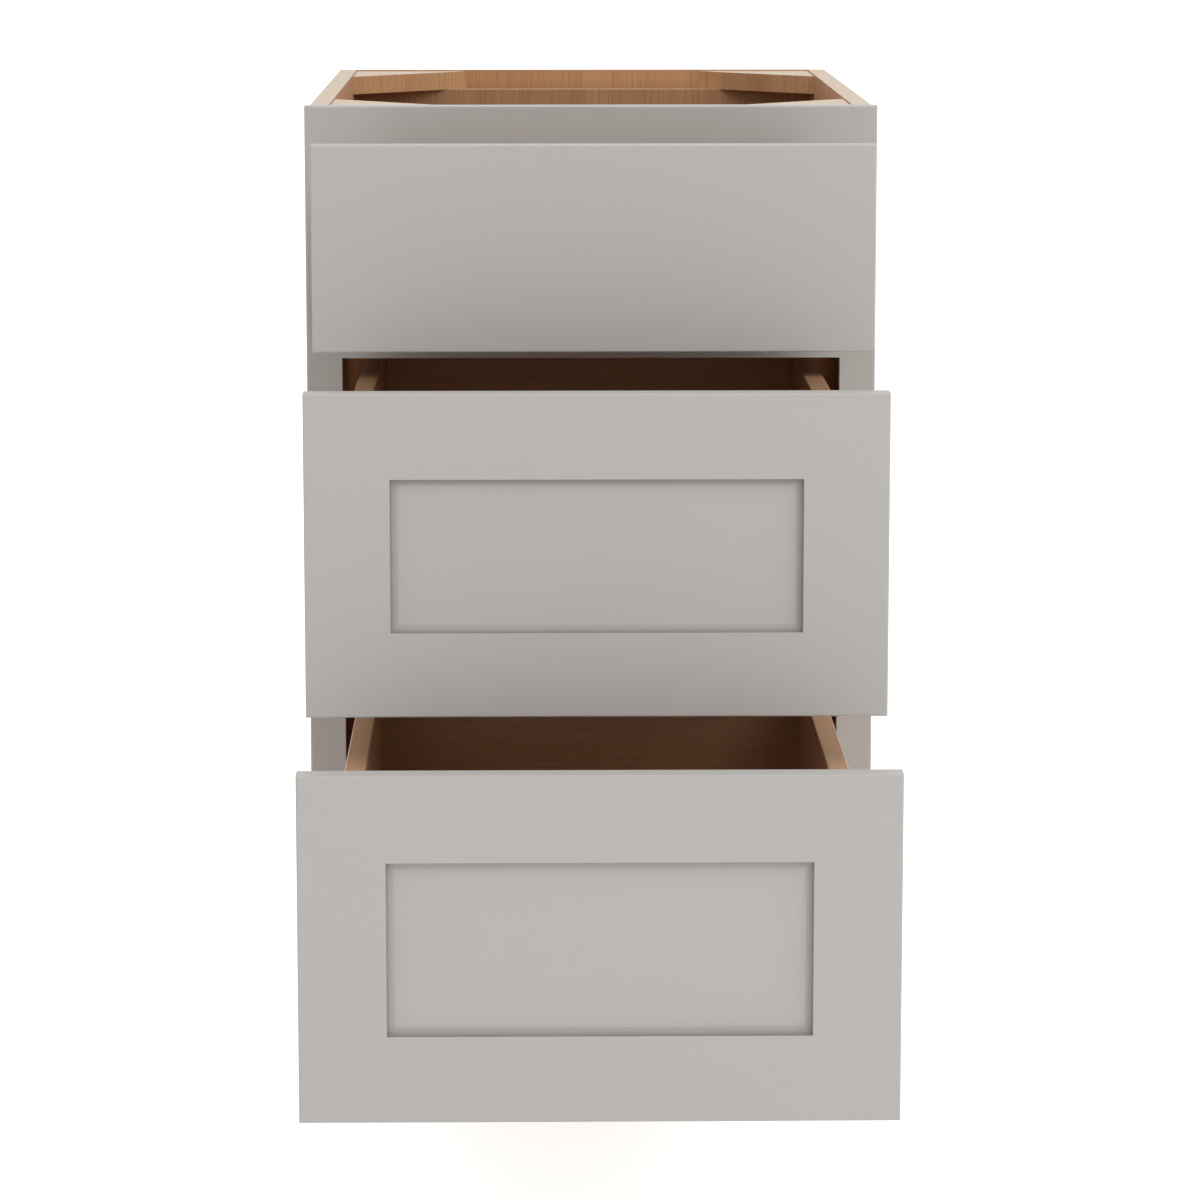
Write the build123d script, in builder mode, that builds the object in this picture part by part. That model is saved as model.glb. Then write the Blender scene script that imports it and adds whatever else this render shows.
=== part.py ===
from build123d import *
import os

# Face-frame base cabinet with three drawers, standing as if in use: open on top for a worktop,
# its drawers pulled out in steps.
# Millimetres. X runs to the right as seen from the front, Y towards the wall and Z up.
# The origin is on the floor, at the middle of the cabinet, in the plane of the wall.

# ---------------------------------------------------------------- driving sizes: cabinet
cabinet_width = 457.2  # across the face frame
cabinet_depth = 609.6  # wall to the front of the face frame
cabinet_height = 825.5  # floor to the underside of the worktop
toe_height = 101.6
toe_recess = 76.2  # from the front of the face frame to the toe kick board
side_thickness = 15.875
frame_overhang = 4.0  # face frame past the outside of each side panel
back_thickness = 12.7
deck_thickness = 12.7
deck_drop = 19.05  # deck surface below the top of the bottom rail
toe_board_thickness = 12.7
dado_depth = 6.35
hanging_rail_thickness = 19.05
hanging_rail_height = 76.2
brace_thickness = 15.875
brace_leg = 101.6
brace_drop = 1.0  # below the top edges of the sides and the back

# ---------------------------------------------------------------- driving sizes: face frame
frame_thickness = 19.05
stile_width = 28.575
top_rail_height = 31.75
middle_rail_height = 31.75
tenon_length = 9.525
tenon_thickness = 6.35
tenon_shoulder = 6.35  # above and below a rail's tenon
tenon_setback = 4.76  # from the front of the face frame
edge_round = 1.5  # painted outer edges of the frame and the drawer fronts

# ---------------------------------------------------------------- driving sizes: drawer fronts
top_front_height = 158.75
lower_front_step = 12.7  # the bottom front is this much taller than the middle one
front_thickness = 19.05
front_side_reveal = 12.7  # frame that shows at each side of a front
front_top_reveal = 20.6375
front_bottom_reveal = 23.8125
front_gap = 12.7  # between one front and the next
bottom_rail_overlay = 9.525  # bottom front over the bottom rail
front_stile_width = 63.5
front_rail_height = 63.5
panel_recess = 6.35
panel_thickness = 6.35
panel_groove_depth = 9.525
panel_play = 0.4  # the flat panel floats this much in its groove
cove_radius = 4.8  # moulded inner edge of a panelled front
cove_toe = 0.2  # step where the cove meets the panel
bumper_gap = 1.6  # closed front to face frame
bumper_thickness = 1.5
bumper_radius = 4.0
bumper_inset = 25.0  # from the top and bottom of a front

# ---------------------------------------------------------------- driving sizes: drawer boxes
box_side_clearance = 12.7  # between the box and each stile
box_top_clearance = 15.875
box_thickness = 15.875
box_rear_clearance = 65.1  # closed box to the back panel
bottom_recess = 12.7  # underside of the bottom panel above the edge of the sides
bottom_thickness = 6.35
bottom_groove_depth = 6.35
bottom_play = 0.4
box_edge_round = 1.2
tail_pitch = 27.0  # dovetails, to the nearest whole number
pin_width = 10.0  # between two tails, at their wide end
tail_slope = 1 / 8

# ---------------------------------------------------------------- driving sizes: runners
channel_width = 20.4
channel_height = 12.0
sheet = 1.5
lip = 4.0
runner_seat = 1.0  # fixed rail above the face-frame rail
member_gap = 2.0  # fixed rail to drawer member
runner_box_gap = 6.35  # drawer member to the side of the box
travel_reserve = 25.4  # runner length less the drawer's travel
runner_rear_setback = 44.45  # end of the fixed rail to the back panel
web_thickness = 2.0
web_clearance = 0.5
web_end_setback = 2.55
roller_clearance = 0.2
roller_side_clearance = 0.7
roller_inset = 15.0  # first roller from the end of the web
roller_spacing = 45.0
axle_radius = 1.5
axle_clearance = 0.1
tab_height = 16.0
hook_radius = 3.0
hook_length = 8.0
hook_rise = 8.0  # above the underside of the bottom panel
hook_plate_height = 13.0
hook_clearance = 0.1
notch_clearance = 1.5
clip_jaw = 3.0
clip_width = 22.0
clip_length = 50.0
clip_height = 11.0
lever_width = 10.0
lever_length = 18.0
lever_thickness = 3.0
lever_setback = 8.0
bracket_sheet = 2.0
bracket_grip = 15.0  # length of fixed rail held by its rear bracket
bracket_plate_thickness = 3.0
bracket_plate_width = 36.0
bracket_plate_drop = 17.0
bracket_plate_rise = 25.0

# ---------------------------------------------------------------- driving sizes: screws
screw_radius = 1.9
screw_length = 12.0
screw_head_radius = 3.5
screw_head_height = 2.0
hole_clearance = 0.05
tab_screw_drop = 8.0
tab_screw_spacing = 10.4
bracket_screw_low = 9.5  # below the opening's lower edge
bracket_screw_high = 18.5  # above it
front_screw_length = 28.0
front_screw_inset = 5.45  # from the inside of the box
front_screw_low = 40.0  # above the bottom edge of the box
front_screw_high = 30.0  # below its top edge

# ---------------------------------------------------------------- pose
# How far each drawer stands open, as a share of its full travel: top, middle, bottom.
open_share = (0.28, 0.595, 0.894)

# ---------------------------------------------------------------- derived sizes: cabinet
half_width = cabinet_width / 2
frame_front = -cabinet_depth
frame_back = frame_front + frame_thickness
back_face = -back_thickness
side_outer = half_width - frame_overhang
side_inner = side_outer - side_thickness
deck_half = side_inner + dado_depth
opening_half = half_width - stile_width
toe_face = frame_front + toe_recess

# ---------------------------------------------------------------- derived sizes: drawers
names = ("top", "middle", "bottom")
front_half = half_width - front_side_reveal
fronts_height = cabinet_height - toe_height - front_top_reveal - front_bottom_reveal - 2 * front_gap
middle_front_height = (fronts_height - top_front_height - lower_front_step) / 2
front_heights = (top_front_height, middle_front_height, middle_front_height + lower_front_step)
front_tops = [
    cabinet_height - front_top_reveal - sum(front_heights[:row]) - row * front_gap for row in range(3)
]
front_lows = [top - height for top, height in zip(front_tops, front_heights)]
rail_overlay = (middle_rail_height - front_gap) / 2
opening_lows = [
    front_lows[0] + rail_overlay,
    front_lows[1] + rail_overlay,
    front_lows[2] + bottom_rail_overlay,
]
opening_tops = [cabinet_height - top_rail_height] + [low - middle_rail_height for low in opening_lows[:2]]
deck_top = opening_lows[2] - deck_drop
deck_low = deck_top - deck_thickness

box_half = opening_half - box_side_clearance
box_inner = box_half - box_thickness
box_bottom_clearance = runner_seat + 2 * channel_height + member_gap - bottom_recess
box_front_closed = frame_front - bumper_gap
box_length = back_face - box_rear_clearance - box_front_closed

runner_outer = box_inner - runner_box_gap
runner_inner = runner_outer - channel_width
runner_middle = (runner_inner + runner_outer) / 2
runner_rear = back_face - runner_rear_setback
travel = runner_rear - frame_back - travel_reserve
pulled_out = [share * travel for share in open_share]
roller_radius = (channel_height - 2 * sheet - 2 * roller_clearance) / 2
tab_screw_x = [runner_middle - tab_screw_spacing / 2, runner_middle + tab_screw_spacing / 2]


# ---------------------------------------------------------------- helpers
def rectangle_between(corner, opposite, mode=Mode.ADD):
    """A rectangle between two opposite corners, in the current sketch."""
    with Locations(((corner[0] + opposite[0]) / 2, (corner[1] + opposite[1]) / 2)):
        Rectangle(opposite[0] - corner[0], opposite[1] - corner[1], mode=mode)


def block(x, y, z, mode=Mode.ADD):
    """A square-edged block that fills a range along each axis, in the current part."""
    with BuildSketch(Plane.XY.offset(z[0])) as outline:
        rectangle_between((x[0], y[0]), (x[1], y[1]))
    extrude(outline.sketch, amount=z[1] - z[0], mode=mode)


def rod(start, direction, radius, length, mode=Mode.ADD):
    """A round bar or hole from a point along a direction, in the current part."""
    with BuildSketch(Plane(start, z_dir=direction)) as outline:
        Circle(radius)
    extrude(outline.sketch, amount=length, mode=mode)


def screw(seat, direction, length, radius=screw_radius):
    """A pan-head screw whose head sits on a point and whose shank runs along a direction."""
    rod(seat, direction, radius, length)
    rod(seat, tuple(-step for step in direction), screw_head_radius, screw_head_height)


def screw_hole(seat, direction, length):
    rod(seat, direction, screw_radius + hole_clearance, length, mode=Mode.SUBTRACT)


def both_sides(low, high):
    """The same distance range on the right and on the left of the middle plane."""
    return (low, high), (-high, -low)


def save(part, name):
    part.label = name
    export_step(part, f"parts/{name}.step")


os.makedirs("parts", exist_ok=True)

# ---------------------------------------------------------------- cabinet box
side_front_edge = frame_back - dado_depth
for side_name, side_x in zip(("right", "left"), both_sides(side_inner, side_outer)):
    with BuildPart() as side_panel:
        with BuildSketch(Plane.YZ.offset(side_x[0])):
            with BuildLine():
                Polyline(
                    (0, 0),
                    (toe_face, 0),
                    (toe_face, toe_height),
                    (side_front_edge, toe_height),
                    (side_front_edge, cabinet_height),
                    (0, cabinet_height),
                    close=True,
                )
            make_face()
        extrude(amount=side_thickness)
        block((-deck_half, deck_half), (frame_back, back_face), (deck_low, deck_top), mode=Mode.SUBTRACT)
    save(side_panel.part, f"side_panel_{side_name}")

with BuildPart() as bottom_panel:
    block((-deck_half, deck_half), (frame_back, back_face), (deck_low, deck_top))
save(bottom_panel.part, "bottom_panel")

with BuildPart() as back_panel:
    block((-side_inner, side_inner), (back_face, 0), (0, cabinet_height))
    for low in opening_lows:
        for x in (-runner_middle, runner_middle):
            for z in (low - bracket_screw_low, low + bracket_screw_high):
                screw_hole((x, back_face, z), (0, 1, 0), screw_length - bracket_plate_thickness)
save(back_panel.part, "back_panel")

brace_low = cabinet_height - brace_drop - brace_thickness
hanging_rail_face = back_face - hanging_rail_thickness
with BuildPart() as hanging_rail:
    rail_z = (brace_low - hanging_rail_height, brace_low)
    block((-side_inner, side_inner), (hanging_rail_face, back_face), rail_z)
save(hanging_rail.part, "hanging_rail")

with BuildPart() as toe_kick_board:
    block((-side_inner, side_inner), (toe_face, toe_face + toe_board_thickness), (0, deck_low))
save(toe_kick_board.part, "toe_kick_board")


def corner_brace(side, corner_y, leg):
    """A flat triangle in a corner of the cabinet; a leg below zero runs towards the front."""
    with BuildPart() as brace:
        with BuildSketch(Plane.XY.offset(brace_low)):
            with BuildLine():
                Polyline(
                    (side * side_inner, corner_y),
                    (side * (side_inner - abs(leg)), corner_y),
                    (side * side_inner, corner_y + leg),
                    close=True,
                )
            make_face()
        extrude(amount=brace_thickness)
    return brace.part


for side_name, side in (("right", 1), ("left", -1)):
    save(corner_brace(side, frame_back, brace_leg), f"corner_brace_front_{side_name}")
    save(corner_brace(side, back_face, -brace_leg), f"corner_brace_rear_{side_name}")

# ---------------------------------------------------------------- face frame
tenon_y = (frame_front + tenon_setback, frame_front + tenon_setback + tenon_thickness)
tenon_half = opening_half + tenon_length
rail_ranges = {
    "top": (opening_tops[0], cabinet_height),
    "upper_middle": (opening_tops[1], opening_lows[0]),
    "lower_middle": (opening_tops[2], opening_lows[1]),
    "bottom": (toe_height, opening_lows[2]),
}


def tenon(rail_z, mode):
    """The full-width bar whose two ends are a rail's tenons and fill the stiles' mortises."""
    tenon_z = (rail_z[0] + tenon_shoulder, rail_z[1] - tenon_shoulder)
    block((-tenon_half, tenon_half), tenon_y, tenon_z, mode)


for side_name, stile_x, panel_x in zip(
    ("right", "left"), both_sides(opening_half, half_width), both_sides(side_inner, side_outer)
):
    with BuildPart() as frame_stile:
        stile_z = (toe_height, cabinet_height)
        block(stile_x, (frame_front, frame_back), stile_z)
        front_face_edges = frame_stile.edges().group_by(Axis.Y)[0]
        outer = Axis.X if side_name == "right" else Axis((0, 0, 0), (-1, 0, 0))
        fillet(front_face_edges.filter_by(Axis.X) + front_face_edges.sort_by(outer)[-1:], edge_round)
        block(panel_x, (frame_back - dado_depth, frame_back), stile_z, mode=Mode.SUBTRACT)
        for rail_z in rail_ranges.values():
            tenon(rail_z, Mode.SUBTRACT)
    save(frame_stile.part, f"frame_stile_{side_name}")

for rail_name, rail_z in rail_ranges.items():
    with BuildPart() as frame_rail:
        block((-opening_half, opening_half), (frame_front, frame_back), rail_z)
        long_front_edges = frame_rail.edges().group_by(Axis.Y)[0].filter_by(Axis.X).sort_by(Axis.Z)
        if rail_name == "top":
            fillet(long_front_edges[-1:], edge_round)
        if rail_name == "bottom":
            fillet(long_front_edges[:1], edge_round)
        tenon(rail_z, Mode.ADD)
        if rail_name != "top":
            for x in tab_screw_x:
                for hole_x in (x, -x):
                    seat = (hole_x, frame_back, rail_z[1] - tab_screw_drop)
                    screw_hole(seat, (0, -1, 0), screw_length - sheet)
    save(frame_rail.part, f"frame_{rail_name}_rail")


# ---------------------------------------------------------------- runners
def channel(x, y, z, open_top):
    """A lipped steel channel along Y, open at its top or at its bottom, in the current part."""
    middle = (x[0] + x[1]) / 2
    half_slot = (x[1] - x[0]) / 2 - sheet - lip
    with BuildSketch(Plane.XZ.offset(-y[1])) as section:
        rectangle_between((x[0], z[0]), (x[1], z[1]))
        rectangle_between((x[0] + sheet, z[0] + sheet), (x[1] - sheet, z[1] - sheet), mode=Mode.SUBTRACT)
        slot_z = (z[1] - sheet, z[1]) if open_top else (z[0], z[0] + sheet)
        slot_x = (middle - half_slot, middle + half_slot)
        rectangle_between((slot_x[0], slot_z[0]), (slot_x[1], slot_z[1]), mode=Mode.SUBTRACT)
    extrude(section.sketch, amount=y[1] - y[0])


def fixed_rail(low):
    """The right-hand rail that stays in the cabinet, with the tab that screws to the face frame."""
    rail_low = low + runner_seat
    rail_z = (rail_low, rail_low + channel_height)
    channel((runner_inner, runner_outer), (frame_back, runner_rear), rail_z, True)
    tab_y = (frame_back, frame_back + sheet)
    block((runner_inner, runner_outer), tab_y, (rail_low - tab_height, rail_low + sheet))
    for x in tab_screw_x:
        screw_hole((x, frame_back, low - tab_screw_drop), (0, 1, 0), sheet)


def rear_bracket(low):
    """The right-hand plastic socket that carries the rear end of a fixed rail."""
    rail_low = low + runner_seat
    cradle_x = (runner_inner - bracket_sheet, runner_outer + bracket_sheet)
    plate_face = back_face - bracket_plate_thickness
    cradle_y = (runner_rear - bracket_grip, plate_face)
    plate_x = (runner_middle - bracket_plate_width / 2, runner_middle + bracket_plate_width / 2)
    block(plate_x, (plate_face, back_face), (low - bracket_plate_drop, low + bracket_plate_rise))
    block(cradle_x, cradle_y, (rail_low - bracket_sheet, rail_low))
    for cheek_x in ((cradle_x[0], runner_inner), (runner_outer, cradle_x[1])):
        block(cheek_x, cradle_y, (rail_low, rail_low + channel_height - sheet))
    for z in (low - bracket_screw_low, low + bracket_screw_high):
        screw_hole((runner_middle, plate_face, z), (0, 1, 0), bracket_plate_thickness)


with BuildPart() as cabinet_runners:
    for low in opening_lows:
        fixed_rail(low)
    mirror(about=Plane.YZ)
save(cabinet_runners.part, "cabinet_runners")

with BuildPart() as rear_brackets:
    for low in opening_lows:
        rear_bracket(low)
    mirror(about=Plane.YZ)
save(rear_brackets.part, "rear_brackets")

with BuildPart() as runner_screws:
    for low in opening_lows:
        for x in tab_screw_x:
            screw((x, frame_back + sheet, low - tab_screw_drop), (0, -1, 0), screw_length)
        for z in (low - bracket_screw_low, low + bracket_screw_high):
            screw((runner_middle, back_face - bracket_plate_thickness, z), (0, 1, 0), screw_length)
    mirror(about=Plane.YZ)
save(runner_screws.part, "runner_screws")


def intermediate_runners(low, shift):
    """A pair of middle members: an upright web with rollers in the rail below and the one above."""
    web_low = low + runner_seat + sheet + web_clearance
    web_top = low + runner_seat + 2 * channel_height + member_gap - sheet - web_clearance
    web_y = (frame_back + web_end_setback - shift, runner_rear - web_end_setback - shift)
    web_x = (runner_middle - web_thickness / 2, runner_middle + web_thickness / 2)
    roller_half = channel_width / 2 - sheet - roller_side_clearance
    lower_z = low + runner_seat + sheet + roller_clearance + roller_radius
    upper_z = lower_z + channel_height + member_gap
    axles = [
        (web_y[1] - roller_inset, lower_z),
        (web_y[1] - roller_inset - roller_spacing, lower_z),
        (web_y[0] + roller_inset, upper_z),
        (web_y[0] + roller_inset + roller_spacing, upper_z),
    ]
    with BuildPart() as members:
        block(web_x, web_y, (web_low, web_top))
        for y, z in axles:
            axle_hole = axle_radius + axle_clearance
            rod((web_x[0], y, z), (1, 0, 0), axle_hole, web_thickness, mode=Mode.SUBTRACT)
        for y, z in axles:
            rod((runner_middle - roller_half, y, z), (1, 0, 0), axle_radius, 2 * roller_half)
            roller_length = roller_half - web_thickness / 2 - roller_clearance
            rod((runner_middle - roller_half, y, z), (1, 0, 0), roller_radius, roller_length)
            rod((runner_middle + roller_half, y, z), (-1, 0, 0), roller_radius, roller_length)
        mirror(about=Plane.YZ)
    return members.part


def drawer_runners(underside, box_front, box_back):
    """A pair of drawer members under the bottom panel, each with a hook behind the box."""
    member_front = box_front + box_thickness + clip_jaw
    rear_end = box_back + sheet
    with BuildPart() as members:
        member_z = (underside - channel_height, underside)
        channel((runner_inner, runner_outer), (member_front, rear_end), member_z, False)
        plate_x = (runner_inner + sheet, runner_outer - sheet)
        block(plate_x, (box_back, rear_end), (underside - sheet, underside + hook_plate_height))
        rod((runner_middle, box_back, underside + hook_rise), (0, -1, 0), hook_radius, hook_length)
        mirror(about=Plane.YZ)
    return members.part


def locking_clips(underside, box_front):
    """A pair of plastic clips in the front corners, each with a jaw over its drawer member."""
    inside = box_front + box_thickness
    clip_z = (underside - clip_height, underside)
    with BuildPart() as clips:
        block((runner_inner - clip_width, runner_inner), (inside, inside + clip_length), clip_z)
        fillet(clips.edges().filter_by(Axis.Z).sort_by(Axis.X)[:2], lever_thickness / 2)
        block((runner_inner, runner_outer - sheet), (inside, inside + clip_jaw), clip_z)
        lever_x = (runner_inner - clip_width - lever_width, runner_inner - clip_width / 2)
        lever_y = (inside + lever_setback, inside + lever_setback + lever_length)
        block(lever_x, lever_y, (clip_z[0], clip_z[0] + lever_thickness))
        mirror(about=Plane.YZ)
    return clips.part


# ---------------------------------------------------------------- drawer boxes
def tails(low, high, tip, root):
    """The dovetails of one corner, seen from the side, in the current sketch."""
    count = max(2, round((high - low) / tail_pitch))
    pitch = (high - low) / count
    half_tip = (pitch - pin_width) / 2
    half_root = half_tip - box_thickness * tail_slope
    for index in range(count):
        middle = low + pitch * (index + 0.5)
        Polygon(
            (tip, middle - half_tip),
            (tip, middle + half_tip),
            (root, middle + half_root),
            (root, middle - half_root),
            align=None,
        )


def bottom_groove(box_front, box_back, underside):
    """The groove round the inside of a box that its bottom panel slides in."""
    reach = box_inner + bottom_groove_depth
    inset = box_thickness - bottom_groove_depth
    groove_z = (underside, underside + bottom_thickness)
    block((-reach, reach), (box_front + inset, box_back - inset), groove_z, mode=Mode.SUBTRACT)


def box_side(side_x, box_front, box_back, z):
    with BuildPart() as board:
        with BuildSketch(Plane.YZ.offset(side_x[0])) as outline:
            rectangle_between((box_front + box_thickness, z[0]), (box_back - box_thickness, z[1]))
            tails(*z, box_front, box_front + box_thickness)
            tails(*z, box_back, box_back - box_thickness)
        extrude(outline.sketch, amount=box_thickness)
        fillet(board.edges().filter_by(Axis.Y).group_by(Axis.Z)[-1], box_edge_round)
        bottom_groove(box_front, box_back, z[0] + bottom_recess)
    return board.part


def box_end(end_y, tip, root, box_front, box_back, z):
    """The front or the back of a box, pinned to the tails of both sides."""
    with BuildPart() as board:
        block((-box_half, box_half), end_y, z)
        fillet(board.edges().filter_by(Axis.X).group_by(Axis.Z)[-1], box_edge_round)
        for side_x in both_sides(box_inner, box_half):
            with BuildSketch(Plane.YZ.offset(side_x[0])) as sockets:
                tails(*z, tip, root)
            extrude(sockets.sketch, amount=box_thickness, mode=Mode.SUBTRACT)
        bottom_groove(box_front, box_back, z[0] + bottom_recess)
        underside = z[0] + bottom_recess
        if tip == box_back:
            for notch_x in both_sides(runner_inner - notch_clearance, runner_outer + notch_clearance):
                block(notch_x, end_y, (z[0], underside), mode=Mode.SUBTRACT)
            for x in (-runner_middle, runner_middle):
                hook_hole = (x, box_back, underside + hook_rise)
                rod(hook_hole, (0, -1, 0), hook_radius + hook_clearance, hook_length, mode=Mode.SUBTRACT)
        else:
            for x, screw_z in front_screw_places(z):
                screw_hole((x, end_y[1], screw_z), (0, -1, 0), box_thickness)
    return board.part


def box_bottom(box_front, box_back, underside):
    half = box_inner + bottom_groove_depth - bottom_play
    inset = box_thickness - bottom_groove_depth + bottom_play
    with BuildPart() as board:
        panel_z = (underside, underside + bottom_thickness)
        block((-half, half), (box_front + inset, box_back - inset), panel_z)
    return board.part


def front_screw_places(z):
    """Where the screws that hold a drawer front go, as x and z, for a box with this height range."""
    x = box_inner - front_screw_inset
    heights = (z[0] + front_screw_low, z[1] - front_screw_high)
    return [(place, height) for place in (x, -x) for height in heights]


def front_screws(box_front, z):
    with BuildPart() as screws:
        for x, screw_z in front_screw_places(z):
            screw((x, box_front + box_thickness, screw_z), (0, -1, 0), front_screw_length)
    return screws.part


# ---------------------------------------------------------------- drawer fronts
def front_bumpers(face_back, z):
    """Four soft pads on the back of a front, over the stiles."""
    x = (opening_half + front_half) / 2
    with BuildPart() as pads:
        for pad_x in (x, -x):
            for pad_z in (z[0] + bumper_inset, z[1] - bumper_inset):
                rod((pad_x, face_back, pad_z), (0, 1, 0), bumper_radius, bumper_thickness)
    return pads.part


def front_screw_sockets(face_back, box_z):
    for x, screw_z in front_screw_places(box_z):
        screw_hole((x, face_back, screw_z), (0, -1, 0), front_screw_length - box_thickness)


def slab_front(face_back, z, box_z):
    """A flat front with its outer edges eased."""
    with BuildPart() as slab:
        block((-front_half, front_half), (face_back - front_thickness, face_back), z)
        fillet(slab.edges().group_by(Axis.Y)[0], edge_round)
        front_screw_sockets(face_back, box_z)
    return slab.part


def panelled_front(face_back, z, box_z):
    """A framed front: two stiles and two rails with a coved inner edge, and a floating flat panel."""
    face = face_back - front_thickness
    panel_y = (face + panel_recess, face + panel_recess + panel_thickness)
    open_half = front_half - front_stile_width
    open_z = (z[0] + front_rail_height, z[1] - front_rail_height)
    toe_half = open_half - cove_radius
    toe_z = (open_z[0] + cove_radius, open_z[1] - cove_radius)
    groove_half = open_half + panel_groove_depth
    groove_z = (open_z[0] - panel_groove_depth, open_z[1] + panel_groove_depth)

    with BuildPart() as whole_frame:
        block((-front_half, front_half), (face, face_back), z)
        fillet(whole_frame.edges().group_by(Axis.Y)[0], edge_round)
        floor = panel_y[0] - cove_toe
        block((-open_half, open_half), (face, floor), open_z, mode=Mode.SUBTRACT)
        pocket_floor = whole_frame.faces().filter_by(Plane.XZ).filter_by(
            lambda patch: abs(patch.center().Y - floor) < cove_toe / 2
        )
        fillet(pocket_floor.edges(), cove_radius)
        block((-toe_half, toe_half), (floor, face_back), toe_z, mode=Mode.SUBTRACT)
        block((-groove_half, groove_half), panel_y, groove_z, mode=Mode.SUBTRACT)
        block((-open_half, open_half), (panel_y[1], face_back), open_z, mode=Mode.SUBTRACT)
        front_screw_sockets(face_back, box_z)

    def tongues(rail_z, mode):
        """The ends of a rail that fill the stiles' grooves."""
        for tongue_x in both_sides(open_half, groove_half):
            block(tongue_x, panel_y, rail_z, mode=mode)

    def cut_from_frame(corners):
        """Keeps what lies inside an outline seen from the front, in the current part."""
        with BuildSketch(Plane.XZ.offset(-face_back)) as outline:
            with BuildLine():
                Polyline(*corners, close=True)
            make_face()
        extrude(outline.sketch, amount=front_thickness, mode=Mode.INTERSECT)

    rail_tongues = {"top": (groove_z[1], z[1] - edge_round), "bottom": (z[0] + edge_round, groove_z[0])}
    pieces = {}
    for name, side in (("right", 1), ("left", -1)):
        with BuildPart() as stile:
            add(whole_frame.part)
            cut_from_frame(
                [
                    (side * front_half, z[0]),
                    (side * front_half, z[1]),
                    (side * open_half, z[1]),
                    (side * open_half, open_z[1]),
                    (side * toe_half, toe_z[1]),
                    (side * toe_half, toe_z[0]),
                    (side * open_half, open_z[0]),
                    (side * open_half, z[0]),
                ]
            )
            for tongue_z in rail_tongues.values():
                tongues(tongue_z, Mode.SUBTRACT)
        pieces[f"stile_{name}"] = stile.part
    for name, outer_z, inner_z, tip_z in (
        ("top", z[1], open_z[1], toe_z[1]),
        ("bottom", z[0], open_z[0], toe_z[0]),
    ):
        with BuildPart() as rail:
            add(whole_frame.part)
            cut_from_frame(
                [
                    (-open_half, outer_z),
                    (open_half, outer_z),
                    (open_half, inner_z),
                    (toe_half, tip_z),
                    (-toe_half, tip_z),
                    (-open_half, inner_z),
                ]
            )
            tongues(rail_tongues[name], Mode.ADD)
        pieces[f"rail_{name}"] = rail.part
    with BuildPart() as flat_panel:
        panel_half = groove_half - panel_play
        panel_z = (groove_z[0] + panel_play, groove_z[1] - panel_play)
        block((-panel_half, panel_half), panel_y, panel_z)
    pieces["panel"] = flat_panel.part
    return pieces


# ---------------------------------------------------------------- the three drawers
for row, name in enumerate(names):
    low = opening_lows[row]
    shift = pulled_out[row]
    box_front = box_front_closed - shift
    box_back = box_front + box_length
    box_z = (low + box_bottom_clearance, opening_tops[row] - box_top_clearance)
    front_z = (front_lows[row], front_tops[row])
    underside = box_z[0] + bottom_recess

    save(intermediate_runners(low, shift / 2), f"{name}_intermediate_runners")
    save(drawer_runners(underside, box_front, box_back), f"{name}_drawer_runners")
    save(locking_clips(underside, box_front), f"{name}_locking_clips")
    for side_name, side_x in zip(("right", "left"), both_sides(box_inner, box_half)):
        save(box_side(side_x, box_front, box_back, box_z), f"{name}_box_side_{side_name}")
    front_y = (box_front, box_front + box_thickness)
    back_y = (box_back - box_thickness, box_back)
    save(box_end(front_y, front_y[0], front_y[1], box_front, box_back, box_z), f"{name}_box_front")
    save(box_end(back_y, back_y[1], back_y[0], box_front, box_back, box_z), f"{name}_box_back")
    save(box_bottom(box_front, box_back, underside), f"{name}_box_bottom")
    save(front_screws(box_front, box_z), f"{name}_front_screws")
    save(front_bumpers(box_front, front_z), f"{name}_front_bumpers")
    if name == "top":
        save(slab_front(box_front, front_z, box_z), "top_front_slab")
    else:
        for piece_name, piece in panelled_front(box_front, front_z, box_z).items():
            save(piece, f"{name}_front_{piece_name}")
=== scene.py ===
"""A face-frame base cabinet with three drawers: its paint, veneer, maple and steel, its small
fittings, and a plain studio to see it in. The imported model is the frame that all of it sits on."""

import math
from collections import defaultdict

import bmesh
import bpy
from mathutils import Matrix, Vector


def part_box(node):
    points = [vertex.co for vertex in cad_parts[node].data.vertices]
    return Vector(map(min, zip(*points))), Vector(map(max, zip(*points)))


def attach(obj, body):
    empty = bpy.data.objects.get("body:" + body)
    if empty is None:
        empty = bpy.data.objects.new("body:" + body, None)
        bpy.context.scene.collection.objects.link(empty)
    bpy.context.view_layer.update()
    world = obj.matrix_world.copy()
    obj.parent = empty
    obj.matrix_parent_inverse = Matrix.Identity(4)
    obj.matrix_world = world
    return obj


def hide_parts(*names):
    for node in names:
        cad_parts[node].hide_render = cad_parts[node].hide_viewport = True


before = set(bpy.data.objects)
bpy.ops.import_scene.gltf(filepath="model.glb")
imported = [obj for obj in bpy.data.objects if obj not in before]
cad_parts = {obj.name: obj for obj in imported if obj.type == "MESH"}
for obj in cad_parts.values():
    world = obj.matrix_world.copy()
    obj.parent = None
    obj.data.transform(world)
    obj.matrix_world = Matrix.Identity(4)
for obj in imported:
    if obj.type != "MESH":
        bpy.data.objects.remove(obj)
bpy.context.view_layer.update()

bl_info = {
    "name": "Drawer base cabinet",
    "version": (1, 0, 0),
    "blender": (4, 5, 0),
    "location": "3D View > Sidebar > Cabinet",
    "description": "Finishes and small fittings of a painted drawer cabinet, and the studio round it",
    "category": "Object",
}

ROWS = ("top", "middle", "bottom")
PANELLED_ROWS = ("middle", "bottom")
MM = 0.001
RIGHT_ANGLE = math.pi / 2
SMOOTH_BELOW = math.radians(35)  # edges that turn less are shaded smooth

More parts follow.
